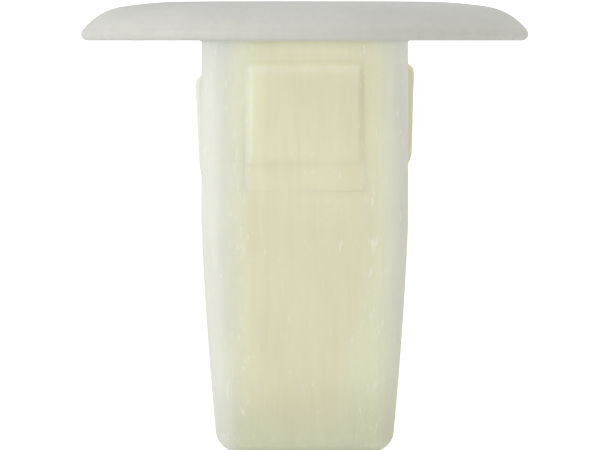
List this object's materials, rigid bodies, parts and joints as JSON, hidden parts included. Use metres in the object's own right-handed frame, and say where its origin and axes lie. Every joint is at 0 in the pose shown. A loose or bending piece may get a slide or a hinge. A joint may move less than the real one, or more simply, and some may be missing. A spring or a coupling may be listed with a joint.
{
  "type": "square shank screw anchor",
  "caption": "Round-flanged nylon screw anchor with a square shank and sprung side lugs that snap into a square hole in sheet metal.",
  "frame": {"origin": "centre of the flange's underside, on the screw's axis: the plane that rests on the panel, at the centre of the panel's square hole", "axes": "+Z along the screw's axis towards its head, so the shank hangs down -Z; +X and +Y square to the shank's flat sides, with the upper pair of lugs on -Y and +X"},
  "size_m": [0.017, 0.017, 0.017],
  "materials": {
    "nylon_flange": "translucent natural nylon, satin, cool grey-white",
    "nylon_shank": "translucent natural nylon, satin, pale ivory",
    "nylon_lug": "translucent natural nylon, satin, pale ivory"
  },
  "bodies": {
    "moulding": {"flange": "nylon_flange", "neck": "nylon_shank", "corner_post_front_right": "nylon_shank", "corner_post_back_right": "nylon_shank", "corner_post_back_left": "nylon_shank", "corner_post_front_left": "nylon_shank", "living_hinge_front": "nylon_lug", "living_hinge_right": "nylon_lug", "living_hinge_back": "nylon_lug", "living_hinge_left": "nylon_lug", "barrel": "nylon_shank", "tip": "nylon_shank"},
    "lug_front": {"snap_tongue_front": "nylon_lug", "snap_lug_front": "nylon_lug"},
    "lug_right": {"snap_tongue_right": "nylon_lug", "snap_lug_right": "nylon_lug"},
    "lug_back": {"snap_tongue_back": "nylon_lug", "snap_lug_back": "nylon_lug"},
    "lug_left": {"snap_tongue_left": "nylon_lug", "snap_lug_left": "nylon_lug"}
  },
  "joints": [
    {"name": "lug_flex_front", "type": "hinge", "parent": "moulding", "child": "lug_front", "pos_m": [0, -0.00365, -0.0055], "axis": [-1, 0, 0], "range_deg": [0, 3.5], "stiffness_Nm_per_rad": 0.2, "deforming": ["living_hinge_front"]},
    {"name": "lug_flex_right", "type": "hinge", "parent": "moulding", "child": "lug_right", "pos_m": [0.00365, 0, -0.0055], "axis": [0, -1, 0], "range_deg": [0, 3.5], "stiffness_Nm_per_rad": 0.2, "deforming": ["living_hinge_right"]},
    {"name": "lug_flex_back", "type": "hinge", "parent": "moulding", "child": "lug_back", "pos_m": [0, 0.00365, -0.0055], "axis": [1, 0, 0], "range_deg": [0, 3.5], "stiffness_Nm_per_rad": 0.2, "deforming": ["living_hinge_back"]},
    {"name": "lug_flex_left", "type": "hinge", "parent": "moulding", "child": "lug_left", "pos_m": [-0.00365, 0, -0.0055], "axis": [0, 1, 0], "range_deg": [0, 3.5], "stiffness_Nm_per_rad": 0.2, "deforming": ["living_hinge_left"]}
  ]
}
